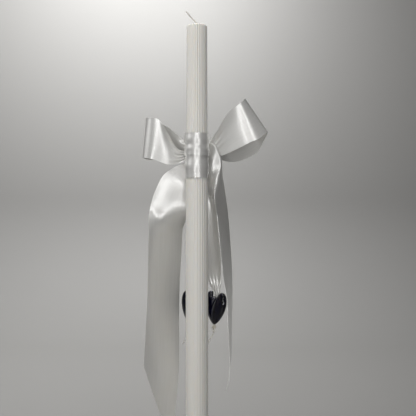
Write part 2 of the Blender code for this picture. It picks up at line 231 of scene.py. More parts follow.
def frames_along(line: Sequence[Vector], start: Vector = Vector((0.0, 1.0, 0.0))) -> list[Matrix]:
    """Find a frame at each point of a line, with Z along it and no twist.

    Args:
        line: The points.
        start: A direction that the first frame's X is turned to.

    Returns:
        One matrix for each point.
    """
    found = []
    side = start
    for i, point in enumerate(line):
        ahead = (line[min(i + 1, len(line) - 1)] - line[max(i - 1, 0)]).normalized()
        side = (side - side.dot(ahead) * ahead).normalized()
        turn = Matrix((side, ahead.cross(side), ahead)).transposed()
        found.append(Matrix.Translation(point) @ turn.to_4x4())
    return found


def lengths_along(line: Sequence[Vector]) -> list[float]:
    """How far along a line each of its points is."""
    run = [0.0]
    for a, b in zip(line, line[1:]):
        run.append(run[-1] + (b - a).length)
    return run


def sweep(bm: Shape, line: Sequence[Vector], radius: float, sides: int = 8) -> None:
    """Draw a round tube with closed ends along a line.

    Args:
        bm: The mesh that gets it.
        line: The tube's centre line.
        radius: The tube's radius.
        sides: The number of flats round it.
    """
    places = frames_along(line)
    verts = bmesh.ops.create_circle(bm, cap_ends=True, segments=sides, radius=radius)["verts"]
    edges = [e for e in bm.edges if e.verts[0] in set(verts) and e.verts[1] in set(verts)]
    bmesh.ops.transform(bm, matrix=places[0], verts=verts)
    for before, after in zip(places, places[1:]):
        verts, edges = extrude_ring(bm, edges)
        bmesh.ops.transform(bm, matrix=after @ before.inverted(), verts=verts)
    bmesh.ops.contextual_create(bm, geom=edges)


def twist(
    line: Sequence[Vector], count: int, pitch: float, beside: Callable[[float], Vector], radius: float
) -> Shape:
    """Wind round strands about a line.

    Args:
        line: The points of the line.
        count: The number of strands.
        pitch: The length of line that one turn takes.
        beside: Gives a strand's place beside the line for its angle.
        radius: Each strand's radius.

    Returns:
        The strands.
    """
    bm = bmesh.new()
    places = frames_along(line)
    run = lengths_along(line)
    for k in range(count):
        turns = [2.0 * math.pi * (along / pitch + k / count) for along in run]
        sweep(bm, [place @ beside(turn) for place, turn in zip(places, turns)], radius)
    return bm


def cloth_grid(
    rows: int, columns: int, flat: tuple[float, float], place: Callable[[int, float], Vector]
) -> Shape:
    """Lay a grid of cloth over a surface, with its weave's own map.

    Args:
        rows: The number of cross-sections along the cloth.
        columns: The number of faces across it.
        flat: The cloth's true width and length.
        place: Gives the point for a row's number and a share across from -1 to 1.

    Returns:
        The sheet, one layer thick.
    """
    bm = bmesh.new()
    bmesh.ops.create_grid(bm, x_segments=rows - 1, y_segments=columns, size=0.5)
    layer = bm.loops.layers.uv.new(UV_NAME)
    where = {v: (round((v.co.x + 0.5) * (rows - 1)), 2.0 * v.co.y) for v in bm.verts}
    for face in bm.faces:
        for loop in face.loops:
            row, side = where[loop.vert]
            loop[layer].uv = (flat[1] * row / (rows - 1), flat[0] * side / 2)
    for vert, (row, side) in where.items():
        vert.co = place(row, side)
    return bm


def with_wall(bm: Shape, name: str, thickness: float) -> Item:
    """Give a sheet of cloth its thickness, half to each side, and make it an object."""
    item = object_from(bm, name)
    wall = item.modifiers.new("wall", "SOLIDIFY")
    wall.thickness = thickness
    wall.offset = 0.0
    return apply_modifiers(item)


def stand_in(item: Item, node: str, body: str = "candle") -> None:
    """Hang a finished piece on the body that carries it, and hide the CAD node that it replaces.

    Args:
        item: The piece.
        node: The CAD node that it replaces.
        body: The body that carries it.
    """
    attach(item, body)
    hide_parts(node)


def hang(item: Item, node: str, joint: str, bend: float) -> None:
    """Bake a hanging ribbon's placement into its mesh, and hide the CAD node that it replaces.

    Args:
        item: The ribbon.
        node: The CAD node that it replaces.
        joint: The joint that it swings on.
        bend: Not used.
    """
    top = Vector(joint_named(joint)["pos_m"])
    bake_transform(item)
    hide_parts(node)


# Finishes


def object_space(tree: Tree) -> Socket:
    """Coordinates in metres on the object."""
    return add_node(tree, "ShaderNodeTexCoord").outputs["Object"]


def stretched(tree: Tree, way: Socket, scale: Point) -> Socket:
    """A pattern's coordinates, scaled along each axis."""
    return add_node(tree, "ShaderNodeMapping", {"Scale": scale}, {"Vector": way}).outputs["Vector"]


def noise(tree: Tree, way: Socket, scale: float, **settings: float) -> Socket:
    """A noise pattern from 0 to 1, with as many blotches in one unit of its coordinates as scale says."""
    pattern = add_node(tree, "ShaderNodeTexNoise", {"Scale": scale, **settings}, {"Vector": way})
    return pattern.outputs["Fac"]


def spread(tree: Tree, value: Socket, **ends: float) -> Socket:
    """A value from 0 to 1, or between other From ends, spread between its To ends."""
    ends = {key.replace("_", " "): end for key, end in ends.items()}
    return add_node(tree, "ShaderNodeMapRange", ends, {"Value": value}).outputs["Result"]


def tint(tree: Tree, shade: str, colour: str, share: Socket) -> Socket:
    """One colour where a pattern is 0, and the other where it is 1."""
    settings = {"data_type": "RGBA", 6: linear(shade), 7: linear(colour)}
    return add_node(tree, "ShaderNodeMix", settings, {"Factor": share}).outputs[2]


def relief(
    tree: Tree, height: Socket, strength: float, depth_mm: float, under: Socket | None = None
) -> Socket:
    """Raise a pattern from the surface.

    Args:
        tree: The material's node tree.
        height: The pattern.
        strength: How much of the relief shows.
        depth_mm: How high the pattern stands.
        under: A relief that this one is added to.

    Returns:
        The relief's normal.
    """
    links = {"Height": height} if under is None else {"Height": height, "Normal": under}
    settings = {"Strength": strength, "Distance": depth_mm * MM}
    return add_node(tree, "ShaderNodeBump", settings, links).outputs["Normal"]


@dataclass(frozen=True)
class Finish:
    """What a surface is made of and how it was made."""

    name: str

    def surface(self, tree: Tree) -> tuple[dict, dict]:
        """Add the patterns of the surface.

        Args:
            tree: The material's node tree.

        Returns:
            The shader's settings, and its links to the patterns.
        """
        raise NotImplementedError

    def material(self) -> bpy.types.Material:
        """The finish's material, made on first use."""
        made = bpy.data.materials.get(self.name)
        if made is None:
            made = bpy.data.materials.new(self.name)
            made.use_nodes = True
            tree = made.node_tree
            tree.nodes.clear()
            shader = add_node(tree, "ShaderNodeBsdfPrincipled", *self.surface(tree))
            add_node(tree, "ShaderNodeOutputMaterial", links={"Surface": shader.outputs[0]})
        return made

    def dress(self, item: Item) -> Item:
        """Give an object this finish all over."""
        item.data.materials.clear()
        item.data.materials.append(self.material())
        return item


@dataclass(frozen=True)
class Satin(Finish):
    """Double-faced polyester satin: long warp floats give it a glassy gloss with soft streaks along it."""

    name: str = "double_faced_satin"
    width_mm: float = 40.0
    colour: str = "#E6E5E2"
    shade: str = "#DAD9D5"
    roughness: float = 0.34
    gloss_roughness: float = 0.27
    float_mirror: float = 0.42  # share of the light that the smooth warp floats send straight back
    streak_mm: float = 1.7  # across the ribbon, the spacing of slack and tight warp threads
    streak_long_mm: float = 40.0  # along the ribbon, how far a slack thread stays slack
    thread_mm: float = 0.5  # the real 0.1 mm is too fine to show, so it is drawn coarser
    selvage_mm: float = 0.8

    def surface(self, tree: Tree) -> tuple[dict, dict]:
        """Streaky warp, fine threads and a woven edge, on the ribbon's own map."""
        uv = add_node(tree, "ShaderNodeUVMap", {"uv_map": UV_NAME}).outputs["UV"]
        threads = stretched(tree, uv, (1000.0, 1000.0, 1.0))
        streaks = stretched(tree, uv, (1000.0 / self.streak_long_mm, 1000.0 / self.streak_mm, 1.0))
        slack = noise(tree, streaks, 1.0, Detail=3.0)
        bands = {"bands_direction": "Y", "Scale": math.pi / 10.0 / self.thread_mm}
        bands |= {"Distortion": 0.6, "Detail": 1.0}
        weave = add_node(tree, "ShaderNodeTexWave", bands, {"Vector": threads})
        sides = add_node(tree, "ShaderNodeSeparateXYZ", links={"Vector": threads})
        across = add_node(tree, "ShaderNodeMath", {"operation": "ABSOLUTE"}, {0: sides.outputs["Y"]})
        edge = self.width_mm / 2
        band = {"From_Min": edge - self.selvage_mm, "From_Max": edge - 0.5 * self.selvage_mm}
        selvage = spread(tree, across.outputs["Value"], **band)
        fine = relief(tree, weave.outputs["Fac"], 0.16, 0.03)
        soft = relief(tree, slack, 0.35, 0.05, fine)
        woven = relief(tree, selvage, 0.5, 0.08, soft)
        tangent = add_node(tree, "ShaderNodeTangent", {"direction_type": "UV_MAP", "uv_map": UV_NAME})
        settings = {
            "Roughness": self.roughness,
            "IOR": 1.54,
            "Metallic": self.float_mirror,
            "Anisotropic": 0.3,
            "Sheen Weight": 0.12,
            "Sheen Roughness": 0.4,
            "Coat Weight": 1.0,
            "Coat Roughness": self.gloss_roughness,
            "Coat IOR": 1.95,
        }
        base = tint(tree, self.shade, self.colour, slack)
        return settings, {"Base Color": base, "Normal": woven, "Tangent": tangent.outputs["Tangent"]}


@dataclass(frozen=True)
class Wax(Finish):
    """Ivory paraffin drawn through a fluted die and buffed: light sinks in and softens each edge."""

    name: str = "drawn_paraffin"
    colour: str = "#E4E2DD"
    shade: str = "#E6E3DC"
    roughness: float = 0.36
    cloud_mm: float = 9.0
    grain_mm: float = 0.9

    def surface(self, tree: Tree) -> tuple[dict, dict]:
        """Cloudy wax with faint die lines down it."""
        way = object_space(tree)
        clouds = noise(tree, way, 1000.0 / self.cloud_mm, Detail=4.0, Roughness=0.6)
        lines = noise(tree, stretched(tree, way, (1.0, 1.0, 0.04)), 1000.0 / self.grain_mm, Detail=2.0)
        settings = {
            "IOR": 1.44,
            "Subsurface Weight": 0.35,
            "Subsurface Radius": (1.0, 0.82, 0.6),
            "Subsurface Scale": 2.5 * MM,
            "Coat Weight": 0.08,
            "Coat Roughness": 0.25,
        }
        return settings, {
            "Base Color": tint(tree, self.shade, self.colour, clouds),
            "Roughness": spread(tree, clouds, To_Min=self.roughness - 0.05, To_Max=self.roughness + 0.08),
            "Normal": relief(tree, lines, 0.3, 0.05),
        }


@dataclass(frozen=True)
class CobaltGlass(Finish):
    """Pressed and fire-polished cobalt glass: nearly black where it is thick, violet-blue where it thins."""

    name: str = "pressed_cobalt_glass"
    colour: str = "#060520"
    roughness: float = 0.03
    ripple_mm: float = 6.0

    def surface(self, tree: Tree) -> tuple[dict, dict]:
        """Dark see-through glass with the slow ripple of a pressed surface."""
        ripple = noise(tree, object_space(tree), 1000.0 / self.ripple_mm, Detail=1.0)
        settings = {"Base Color": linear(self.colour), "Roughness": self.roughness}
        settings |= {"IOR": 1.52, "Transmission Weight": 0.9}
        return settings, {"Normal": relief(tree, ripple, 0.25, 0.15)}


@dataclass(frozen=True)
class Pearl(Finish):
    """Moulded imitation pearl: cream body under a clear nacre lacquer."""

    name: str = "lacquered_pearl"
    colour: str = "#E4DFD3"
    shade: str = "#D2CBBD"
    roughness: float = 0.3
    swirl_mm: float = 1.6

    def surface(self, tree: Tree) -> tuple[dict, dict]:
        """Cream body with a faint swirl."""
        swirl = noise(tree, object_space(tree), 1000.0 / self.swirl_mm, Detail=2.0, Distortion=1.2)
        settings = {"Roughness": self.roughness, "IOR": 1.53, "Coat Weight": 0.8, "Coat Roughness": 0.08}
        return settings, {"Base Color": tint(tree, self.shade, self.colour, swirl)}


@dataclass(frozen=True)
class Cotton(Finish):
    """Spun cotton or rayon: matt fibres that scatter light, with a fuzz of sheen at the outline."""

    name: str = "spun_cotton"
    colour: str = "#F0EEE8"
    shade: str = "#DAD6CC"
    roughness: float = 0.7
    fibre_mm: float = 0.3

    def surface(self, tree: Tree) -> tuple[dict, dict]:
        """Fibres drawn out along the strand."""
        drawn = stretched(tree, object_space(tree), (1.0, 1.0, 0.25))
        fibres = noise(tree, drawn, 1000.0 / self.fibre_mm, Detail=3.0)
        settings = {"Roughness": self.roughness, "Sheen Weight": 0.4, "Sheen Roughness": 0.5}
        base = tint(tree, self.shade, self.colour, fibres)
        return settings, {"Base Color": base, "Normal": relief(tree, fibres, 0.6, 0.06)}


@dataclass(frozen=True)
class StudioBoard(Finish):
    """Matt pale board, bent up behind the object."""

    name: str = "studio_board"
    colour: str = "#959492"

    def surface(self, tree: Tree) -> tuple[dict, dict]:
        """Matt board with a barely seen mottle."""
        mottle = noise(tree, object_space(tree), 3.0, Detail=2.0)
        rough = spread(tree, mottle, To_Min=0.6, To_Max=0.7)
        return {"Base Color": linear(self.colour)}, {"Roughness": rough}


# Studio


@dataclass(frozen=True)
class SoftLight:
    """A square soft light: where it hangs, the point it faces, its side and its power in watts."""

    name: str
    place: Point
    aim: Point
    size: float
    power: float

    def hang(self) -> None:
        """Add the light, out of the camera's sight."""
        data = bpy.data.lights.new(self.name, "AREA")
        data.size = self.size
        data.energy = self.power
        light = bpy.data.objects.new(self.name, data)
        light.location = self.place
        ahead = Vector(self.aim) - Vector(self.place)
        light.rotation_euler = ahead.to_track_quat("-Z", "Y").to_euler()
        light.visible_camera = False
        bpy.context.scene.collection.objects.link(light)


@dataclass
class Studio:
    """Camera, lights, floor and the bent board behind."""

    eye: Vector = field(default_factory=lambda: Vector((10.8, -606.0, 322.0)) * MM)
    lens: float = 53.65
    sensor: float = 36.0
    board: StudioBoard = field(default_factory=StudioBoard)
    reach: float = 3.0
    wall_at: float = 1.15
    bend: float = 0.35
    bend_steps: int = 16
    lights: Sequence[SoftLight] = (
        SoftLight("key_left", (-0.66, -0.56, 1.02), (0.0, 0.0, 0.46), 0.5, 2.0),
        SoftLight("strip_left", (-0.95, -0.22, 0.76), (0.0, 0.0, 0.44), 0.5, 1.0),
        SoftLight("overhead", (-0.04, -0.20, 0.88), (0.0, 0.0, 0.4), 0.40, 1.3),
        SoftLight("board_wash", (-0.20, 0.58, 1.22), (-0.36, 1.24, 0.44), 0.6, 15.8),
    )
    ring_radius: float = 0.21
    ring_band: float = 0.025
    ring_strength: float = 14.5
    room_left: float = 0.13
    room_right: float = 0.04
    room_top: float = 0.20

    def add_camera(self) -> None:
        """Put the camera level with the ribbon's hang, looking along +Y."""
        data = bpy.data.cameras.new("camera")
        data.lens = self.lens
        data.sensor_width = self.sensor
        camera = bpy.data.objects.new("camera", data)
        camera.location = self.eye
        camera.rotation_euler = (math.pi / 2, 0.0, 0.0)
        bpy.context.scene.collection.objects.link(camera)
        bpy.context.scene.camera = camera

    def add_backdrop(self) -> None:
        """One board: the floor, a quarter bend and the wall."""
        bm = bmesh.new()
        corners = [bm.verts.new((x, -self.reach, 0.0)) for x in (-self.reach, self.reach)]
        verts, edges = extrude_ring(bm, [bm.edges.new(corners)])
        bmesh.ops.translate(bm, vec=(0.0, self.reach + self.wall_at - self.bend, 0.0), verts=verts)
        bent = bmesh.ops.spin(
            bm,
            geom=edges,
            cent=(0.0, self.wall_at - self.bend, self.bend),
            axis=(1.0, 0.0, 0.0),
            angle=math.pi / 2,
            steps=self.bend_steps,
            use_duplicate=False,
        )["geom_last"]
        verts, _ = extrude_ring(bm, [g for g in bent if isinstance(g, bmesh.types.BMEdge)])
        bmesh.ops.translate(bm, vec=(0.0, 0.0, self.reach), verts=verts)
        self.board.dress(object_from(bm, "studio_board"))

    def add_ring_lamp(self) -> None:
        """A ring lamp round the lens, which lights the satin but isn't seen itself."""
        inner = self.ring_radius - self.ring_band / 2
        grow = (inner + self.ring_band) / inner
        bm = bmesh.new()
        bmesh.ops.create_circle(bm, segments=64, radius=inner)
        verts, _ = extrude_ring(bm, bm.edges[:])
        bmesh.ops.scale(bm, vec=(grow, grow, 1.0), verts=verts)
        turn = Matrix.Translation(self.eye) @ Matrix.Rotation(math.pi / 2, 4, "X")
        bmesh.ops.transform(bm, matrix=turn, verts=bm.verts)
        lamp = object_from(bm, "ring_lamp")
        glow = bpy.data.materials.new("ring_lamp_glow")
        glow.use_nodes = True
        glow.node_tree.nodes.clear()
        emit = add_node(glow.node_tree, "ShaderNodeEmission", {"Strength": self.ring_strength})
        add_node(glow.node_tree, "ShaderNodeOutputMaterial", links={"Surface": emit.outputs[0]})
        lamp.data.materials.append(glow)
        lamp.visible_camera = False

    def add_room(self) -> None:
        """Dim grey surroundings, lighter on the left and above than on the right."""
        world = bpy.data.worlds.new("studio_room")
        bpy.context.scene.world = world
        world.use_nodes = True
        tree = world.node_tree
        tree.nodes.clear()
        place = add_node(tree, "ShaderNodeTexCoord")
        way = add_node(tree, "ShaderNodeSeparateXYZ", links={"Vector": place.outputs["Generated"]})
        walls = {"From_Min": -1.0, "To_Min": self.room_left, "To_Max": self.room_right}
        side = spread(tree, way.outputs["X"], **walls)
        high = spread(tree, way.outputs["Z"], To_Max=self.room_top)
        both = add_node(tree, "ShaderNodeMath", {"operation": "ADD"}, {0: side, 1: high})
        sky = add_node(tree, "ShaderNodeBackground", links={"Strength": both.outputs["Value"]})
        add_node(tree, "ShaderNodeOutputWorld", links={"Surface": sky.outputs["Background"]})

    def build(self) -> None:
        """Make the whole studio."""
        self.add_camera()
        self.add_room()
        self.add_backdrop()
        for light in self.lights:
            light.hang()
        self.add_ring_lamp()
        bpy.context.scene.view_settings.view_transform = "Standard"
        log.info("studio: camera, board, %d soft lights and a ring lamp", len(self.lights))


# Candle


@dataclass
class Taper:
    """The wax column: fluted, rounded at its shoulder and a little cupped round the wick."""

    wax: Wax = field(default_factory=Wax)
    flutes: int = 26
    points_per_flute: int = 8
    flute_depth: float = 0.6 * MM
    foot_fade: float = 0.15  # share of the depth that is left at the foot
    straight_to: float = 0.62  # share of the height up to which the column keeps its full width
    shoulder_share: float = 10.0 / 11.0
    shoulder_round: float = 1.5 * MM
    foot_round: float = 0.6 * MM
    cup_depth: float = 0.5 * MM
    well_radius: float = 1.0 * MM
    well_depth: float = 6.0 * MM
    rows: int = 56

    def __post_init__(self) -> None:
        """Read the column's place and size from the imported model."""
        low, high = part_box("candle_body")
        self.height = high.z
        self.foot_radius = (high.x - low.x) / 2

    def crest(self, z: float) -> float:
        """Radius over the flutes' crests at a height."""
        share = max(0.0, (z / self.height - self.straight_to) / (1.0 - self.straight_to))
        return self.foot_radius * (1.0 + (self.shoulder_share - 1.0) * share**0.6)

    def depth(self, z: float) -> float:
        """Depth of the grooves at a height."""
        return self.flute_depth * (self.foot_fade + (1.0 - self.foot_fade) * z / self.height)

    def set_ring(self, verts: list[bmesh.types.BMVert], z: float, crest: float, depth: float) -> None:
        """Shape a ring of vertices into rounded reeds with narrow grooves between them.

        Args:
            verts: The ring.
            z: Its height.
            crest: Radius over the reeds.
            depth: How deep the grooves are.
        """
        for vert in verts:
            angle = math.atan2(vert.co.y, vert.co.x)
            reed = abs(math.sin(self.flutes * angle / 2))
            radius = crest - depth * (1.0 - reed**0.8)
            vert.co = (radius * math.cos(angle), radius * math.sin(angle), z)

    def profile(self) -> list[tuple[float, float, float]]:
        """The column's outline.

        Returns:
            Height, crest radius and groove depth of each ring, from the foot up and in to the wick's well.
        """
        foot = self.crest(0.0) - self.foot_round
        rings = [(0.0, foot, 0.0)]
        for k in range(1, 4):
            turn = math.pi / 2 * k / 3
            rise = self.foot_round * (1.0 - math.cos(turn))
            rings.append((rise, foot + self.foot_round * math.sin(turn), self.depth(0.0) * k / 3))
        top = self.height - self.shoulder_round
        for k in range(1, self.rows + 1):
            z = self.foot_round + (top - self.foot_round) * k / self.rows
            rings.append((z, self.crest(z), self.depth(z)))
        edge = self.crest(top) - self.shoulder_round
        groove = self.depth(top)
        for k in range(1, 7):
            turn = math.pi / 2 * k / 6
            rise, out = self.shoulder_round * math.sin(turn), self.shoulder_round * math.cos(turn)
            rings.append((top + rise, edge + out, groove))
        for k in range(1, 6):
            share = k / 5
            sink = self.cup_depth * math.sin(math.pi / 2 * share) ** 2
            radius = edge + (self.well_radius - edge) * share
            rings.append((self.height - sink, radius, groove * max(0.0, 1.0 - 2.5 * share)))
        rings.append((self.height - self.well_depth, self.well_radius, 0.0))
        return rings

    def build(self) -> None:
        """Draw the column up ring by ring and close both ends."""
        bm = bmesh.new()
        rings = self.profile()
        count = self.flutes * self.points_per_flute
        verts = bmesh.ops.create_circle(bm, cap_ends=True, segments=count, radius=1.0)["verts"]
        edges = bm.edges[:]
        self.set_ring(verts, *rings[0])
        for ring in rings[1:]:
            verts, edges = extrude_ring(bm, edges)
            self.set_ring(verts, *ring)
        bmesh.ops.contextual_create(bm, geom=edges)
        column = self.wax.dress(object_from(bm, "wax_column", 75.0))
        stand_in(column, "candle_body")
        log.info("wax column: %d flutes, %.0f mm tall", self.flutes, self.height / MM)


@dataclass
class Wick:
    """Three waxed cotton strands, plaited, bent over towards -X at the top."""

    cotton: Cotton = field(
        default_factory=lambda: Cotton("waxed_wick_cotton", colour="#ECE9E2", shade="#D6D2C8", roughness=0.6)
    )
    strand_radius: float = 0.48 * MM
    sway: float = 0.50 * MM
    lap: float = 0.24 * MM
    plait_mm: float = 5.5
    sunk: float = 5.0 * MM

    def route(self) -> list[Vector]:
        """The plait's centre line from inside the wax to its free end."""
        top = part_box("candle_body")[1].z
        low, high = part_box("wick")
        rise, lean = high.z - top, -low.x
        shape = [(0.0, 0.0), (0.0, 0.10), (0.22, 0.33), (0.58, 0.62), (0.86, 0.88), (0.97, 0.95)]
        points = [Vector((-lean * x, 0.0, top + rise * z)) for x, z in shape]
        points[0].z = top - self.sunk
        return smooth_line(points, 12)

    def build(self) -> None:
        """Plait the strands along the route."""

        def beside(turn: float) -> Vector:
            """Where a strand is beside the centre line as it crosses the others."""
            return Vector((self.sway * math.sin(turn), self.lap * math.sin(2.0 * turn), 0.0))

        line = self.route()
        bm = twist(line, 3, self.plait_mm * MM, beside, self.strand_radius)
        wick = self.cotton.dress(object_from(bm, "plaited_wick", 70.0))
        stand_in(wick, "wick")
        log.info("wick: three strands, %.0f mm of it free", (lengths_along(line)[-1] - self.sunk) / MM)


# Ribbons


@dataclass(frozen=True)
class Station:
    """A cross-section on a ribbon's way, in millimetres from the knot's centre.

    across points to the ribbon's first edge, with a length of 1 where the ribbon lies flat and less where it
    is gathered. belly is how far its middle stands out from the straight line between its edges.
    """

    centre: Point
    across: Point
    belly: Point = (0.0, 0.0, 0.0)


@dataclass(frozen=True)
class Crease:
    """A soft ridge in a ribbon's face, or a valley where its height is negative.

    start and end are millimetres along the ribbon and a share across it from -1 to 1.
    """

    start: tuple[float, float]
    end: tuple[float, float]
    height_mm: float
    width_mm: float

    def rise(self, along: float, across: float, half_width: float) -> float:
        """Height of the ridge, in mm, at a place on the ribbon.

        Args:
            along: Millimetres along the ribbon.
            across: Share across it.
            half_width: Half the ribbon's width in mm.

        Returns:
            The height, which fades out towards both ends of the crease.
        """
        ax, ay = self.start[0], self.start[1] * half_width
        bx, by = self.end[0], self.end[1] * half_width
        px, py = along - ax, across * half_width - ay
        dx, dy = bx - ax, by - ay
        share = (px * dx + py * dy) / (dx * dx + dy * dy)
        inside = min(1.0, max(0.0, share))
        off = math.hypot(px - inside * dx, py - inside * dy)
        fade = 1.0 - 0.85 * inside
        return self.height_mm * fade * math.exp(-((off / self.width_mm) ** 2))


@dataclass
class Ribbon:
    """A length of ribbon laid through its stations."""

    name: str
    stations: Sequence[Station]
    satin: Satin
    creases: Sequence[Crease] = ()
    pleats: float = 3.5
    pleat_depth: float = 1.1  # in mm, where the ribbon is gathered to nothing
    pleat_phase: float = 0.4
    slack_power: float = 2.6  # how suddenly the pleats deepen towards a gathered end
    thickness: float = 0.32 * MM
    row_mm: float = 1.3
    columns: int = 28

    def lay(self, origin: Vector) -> None:
        """Work out every cross-section, evenly spaced along the ribbon.

        Args:
            origin: The knot's centre.
        """
        self.width = self.satin.width_mm * MM
        centres, spans, bellies = [
            smooth_line(values, 24) for values in zip(*((s.centre, s.across, s.belly) for s in self.stations))
        ]
        run = lengths_along(centres)
        self.length_mm = run[-1]
        self.flat = (self.width, self.length_mm * MM)
        self.rows = max(8, round(run[-1] / self.row_mm)) + 1
        self.sections = []
        k = 0
        for i in range(self.rows):
            at = run[-1] * i / (self.rows - 1)
            while k < len(run) - 2 and run[k + 1] < at:
                k += 1
            share = (at - run[k]) / max(run[k + 1] - run[k], 1e-9)
            row = [values[k].lerp(values[k + 1], share) for values in (centres, spans, bellies)]
            self.sections.append((at, *row))
        self.origin = origin

    def point(self, row: int, side: float) -> Vector:
        """Where the ribbon's surface is.

        Args:
            row: The cross-section's number.
            side: Share across, 1 at the first edge and -1 at the other.

        Returns:
            The point in the row frame.
        """
        at, centre, span, belly = self.sections[row]
        before = self.sections[max(row - 1, 0)][1]
        after = self.sections[min(row + 1, self.rows - 1)][1]
        half = self.width / MM / 2
        bow = belly * (1.0 - side * side)
        slope = span * half - 2.0 * side * belly
        normal = (after - before).cross(slope).normalized()
        slack = max(0.0, 1.0 - span.length) ** self.slack_power
        ripple = self.pleat_depth * slack * math.sin(math.pi * self.pleats * side + self.pleat_phase)
        ripple += sum(c.rise(at, side, half) for c in self.creases)
        return self.origin + MM * (centre + span * side * half + bow + normal * ripple)

    def sheet(self, origin: Vector) -> Shape:
        """The ribbon's surface, one layer thick, laid from the knot's centre."""
        self.lay(origin)
        return cloth_grid(self.rows, self.columns, self.flat, self.point)

    def finish(self, bm: Shape) -> Item:
        """Give the ribbon's sheet its thickness and its satin."""
        item = self.satin.dress(with_wall(bm, self.name, self.thickness))
        log.info("%s: %.0f mm long, %.0f mm wide", self.name, self.length_mm, self.satin.width_mm)
        return item


@dataclass
class WrapTurn:
    """One turn of ribbon round the candle, gathered into the knot at the back."""

    name: str
    node: str
    satin: Satin
    folded: bool
    swell: float = 0.0  # how far it stands off its CAD band
    slant: float = 0.0  # how much lower its -X side is
    folds: Sequence[tuple[float, float, float]] = ()  # share of the height, width share and height in mm
    end_turn: float = 168.0
    pinch_from: float = 100.0
    pinch_share: float = 0.62  # how far its ends draw in towards the knot's middle
    gather_depth: float = 0.5 * MM
    fold_at: float = 0.45  # share of the ribbon's width that is folded under
    fold_blend: float = 0.04
    fold_gap: float = 0.30 * MM
    thickness: float = 0.25 * MM
    rows: int = 97
    columns: int = 30

    def build(self, knot: Vector) -> None:
        """Wrap the ribbon round the front and pinch both its ends at the knot.

        Args:
            knot: The knot's centre.
        """
        low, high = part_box(self.node)
        radius = (high.x - low.x) / 2 + self.swell
        tall = high.z - low.z
        reach = math.radians(self.end_turn)
        flat = (self.satin.width_mm * MM, 2 * reach * radius)

        def place(row: int, side: float) -> Vector:
            """Where the turn's surface is, for a row's number and a share across."""
            angle = reach * (2.0 * row / (self.rows - 1) - 1.0)
            pinch = smoothstep(math.radians(self.pinch_from), reach, abs(angle))
            share = (side + 1.0) / 2
            inward = 0.0
            if self.folded:
                under = smoothstep(self.fold_at - self.fold_blend, self.fold_at + self.fold_blend, share)
                inward = self.fold_gap * (1.0 - under)
                share = abs(share - self.fold_at) / (1.0 - self.fold_at)
            ripple = sum(h * math.exp(-(((share - at) / w) ** 2)) for at, w, h in self.folds) * MM
            gather = self.gather_depth * pinch * math.sin(9.0 * share + 1.0)
            out = radius + ripple - inward + gather
            z = low.z + tall * share
            z += (knot.z - 1.0 * MM - z) * self.pinch_share * pinch + self.slant * math.sin(angle)
            return Vector((out * math.sin(angle), -out * math.cos(angle), z))

        bm = cloth_grid(self.rows, self.columns, flat, place)
        turn = self.satin.dress(with_wall(bm, self.name, self.thickness))
        stand_in(turn, self.node)
        log.info("%s: %.1f mm radius, %.0f mm tall", self.name, radius / MM, tall / MM)


# Each loop's stations: out of the knot nearer the candle, round, and back behind
LOOP_WAYS = {
    Side.LEFT: (
        ((-7.0, -2.6, -0.5), (0.0, 0.0, 0.20)),
        ((-10.5, -3.6, -1.8), (-0.02, 0.0, 0.20)),
        ((-15.0, -5.2, -3.6), (-0.03, 0.0, 0.24)),
        ((-22.5, -7.6, -3.8), (-0.02, 0.0, 0.42), (0.0, -0.9, 0.0)),
        ((-31.5, -10.6, 2.6), (0.03, 0.0, 0.76), (0.0, -1.4, 0.0)),
        ((-40.2, -13.0, 10.6), (0.06, -0.02, 1.0), (0.0, -0.8, 0.0)),
        ((-48.4, -12.5, 13.0), (0.06, 0.0, 1.0)),
        ((-54.5, -6.4, 13.8), (0.09, 0.0, 0.99)),
        ((-50.8, 2.2, 12.8), (0.06, -0.20, 0.98)),
        ((-40.0, 6.0, 11.0), (0.0, -0.35, 0.93)),
        ((-29.5, 8.0, 7.4), (-0.02, -0.35, 0.84)),
        ((-20.0, 7.0, 4.0), (0.0, -0.20, 0.62)),
        ((-13.5, 4.5, 3.5), (0.02, 0.0, 0.42)),
        ((-7.0, 2.4, 2.0), (0.0, 0.0, 0.26)),
    ),
    Side.RIGHT: (
        ((7.0, -1.0, 2.0), (0.0, 0.0, 0.26)),
        ((11.0, -1.2, 2.4), (-0.05, 0.0, 0.34)),
        ((17.0, -2.6, 4.6), (-0.11, 0.0, 0.46), (0.0, -0.6, 0.0)),
        ((29.5, -8.2, 17.0), (-0.24, 0.0, 0.80), (0.0, -0.8, 0.0)),
        ((43.0, -13.8, 26.2), (-0.33, 0.0, 0.89)),
        ((51.6, -13.6, 31.0), (-0.45, -0.02, 0.88)),
        ((57.0, -7.5, 36.2), (-0.56, -0.02, 0.82)),
        ((56.4, 2.5, 29.8), (-0.47, -0.20, 0.85)),
        ((53.2, 8.2, 18.9), (-0.34, -0.40, 0.84)),
        ((42.2, 10.2, 11.4), (-0.28, -0.50, 0.81)),
        ((31.2, 9.4, 7.8), (-0.25, -0.46, 0.80)),
        ((21.5, 7.8, 7.0), (-0.18, -0.24, 0.72)),
        ((13.8, 5.0, 6.0), (-0.06, 0.0, 0.45)),
        ((7.0, 2.8, 3.5), (0.0, 0.0, 0.26)),
    ),
}
